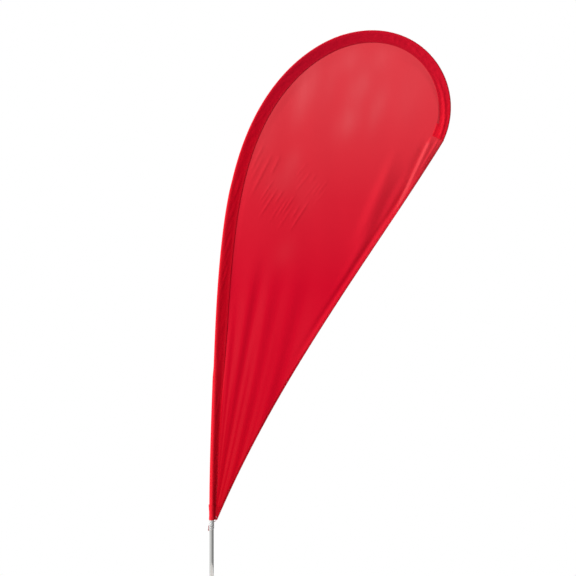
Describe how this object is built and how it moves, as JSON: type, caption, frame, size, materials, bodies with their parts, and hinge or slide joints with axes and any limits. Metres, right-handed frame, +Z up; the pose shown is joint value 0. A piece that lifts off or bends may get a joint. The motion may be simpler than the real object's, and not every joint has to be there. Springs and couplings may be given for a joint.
{
  "type": "teardrop flag with pole and cross base",
  "caption": "Red teardrop-shaped fabric banner sewn round a flexible bent pole, on a rotating spindle in a folding cross base.",
  "frame": {"origin": "on the floor, under the pole's axis: the centre of the flat underside of the pivot's floor cap", "axes": "+Z up along the foot of the pole; +X to the side that the cloth flies to; the cloth lies in the plane y = 0, and -Y is its front"},
  "size_m": [1.4136, 0.5756, 2.8018],
  "materials": {
    "panel_cloth": "knitted polyester, satin",
    "sleeve_cloth": "doubled polyester, satin",
    "elastic": "braided",
    "aluminium": "satin anodised",
    "fibreglass": "smooth, slightly translucent",
    "zinc_steel": "zinc plated",
    "bearing_steel": "polished",
    "coated_steel": "fine powder coat",
    "white_nylon": "moulded, satin",
    "black_rubber": "matt",
    "brass": "machined",
    "red_lacquer": "lacquered, satin"
  },
  "bodies": {
    "base": {"upper_leg": "coated_steel", "foot_back_right": "black_rubber", "foot_front_left": "black_rubber", "foot_screw_back_right": "zinc_steel", "foot_screw_front_left": "zinc_steel", "foot_nut_back_right": "zinc_steel", "foot_nut_front_left": "zinc_steel", "leg_washer": "white_nylon", "pivot_bolt": "zinc_steel", "pivot_washer": "zinc_steel", "lock_nut": "zinc_steel", "nut_cap": "black_rubber", "hub_housing": "coated_steel", "hub_bolt_back": "zinc_steel", "hub_bolt_front": "zinc_steel", "dust_cap": "black_rubber", "lower_bearing_outer_ring": "bearing_steel", "upper_bearing_outer_ring": "bearing_steel"},
    "lower_leg_set": {"lower_leg": "coated_steel", "foot_front_right": "black_rubber", "foot_back_left": "black_rubber", "foot_screw_front_right": "zinc_steel", "foot_screw_back_left": "zinc_steel", "foot_nut_front_right": "zinc_steel", "foot_nut_back_left": "zinc_steel"},
    "ball_sets": {"lower_bearing_balls": "bearing_steel", "upper_bearing_balls": "bearing_steel"},
    "spindle_set": {"spindle": "zinc_steel", "lower_bearing_inner_ring": "bearing_steel", "upper_bearing_inner_ring": "bearing_steel", "bearing_spacer": "aluminium", "retaining_ring": "zinc_steel"},
    "flag_and_pole": {"pole_foot_ring": "black_rubber", "lower_tube": "aluminium", "tube_socket": "aluminium", "lower_rod": "fibreglass", "middle_rod": "fibreglass", "tip_rod": "fibreglass", "lower_ferrule": "zinc_steel", "upper_ferrule": "zinc_steel", "tip_cap": "black_rubber", "pole_sleeve": "sleeve_cloth", "tip_pocket": "sleeve_cloth", "flag_panel": "panel_cloth", "trailing_hem": "sleeve_cloth", "corner_patch": "sleeve_cloth", "eyelet": "red_lacquer", "tension_cord": "elastic", "cord_crimp": "aluminium"},
    "collar": {"tension_collar": "white_nylon", "clamp_insert": "brass"},
    "knob": {"clamp_knob": "black_rubber"}
  },
  "joints": [
    {"name": "leg_fold", "type": "hinge", "parent": "base", "child": "lower_leg_set", "pos_m": [0, 0, 0.0153], "axis": [0, 0, 1], "range_deg": [-70, 70]},
    {"name": "spindle_spin", "type": "hinge", "parent": "base", "child": "spindle_set", "pos_m": [0, 0, 0.0643], "axis": [0, 0, 1], "continuous": true},
    {"name": "ball_set_roll", "type": "hinge", "parent": "base", "child": "ball_sets", "pos_m": [0, 0, 0.0643], "axis": [0, 0, 1], "continuous": true},
    {"name": "pole_lift", "type": "slide", "parent": "spindle_set", "child": "flag_and_pole", "axis": [0, 0, 1], "range_m": [0, 0.21]},
    {"name": "collar_slide", "type": "slide", "parent": "flag_and_pole", "child": "collar", "axis": [0, 0, 1], "range_m": [-0.05, 0], "deforming": ["tension_cord"]},
    {"name": "knob_turn", "type": "hinge", "parent": "collar", "child": "knob", "pos_m": [0, 0.02, 0.46], "axis": [0, 1, 0], "range_deg": [-360, 0]}
  ],
  "couplings": [
    {"joint": "ball_set_roll", "follows": "spindle_spin", "ratio": 0.41}
  ]
}
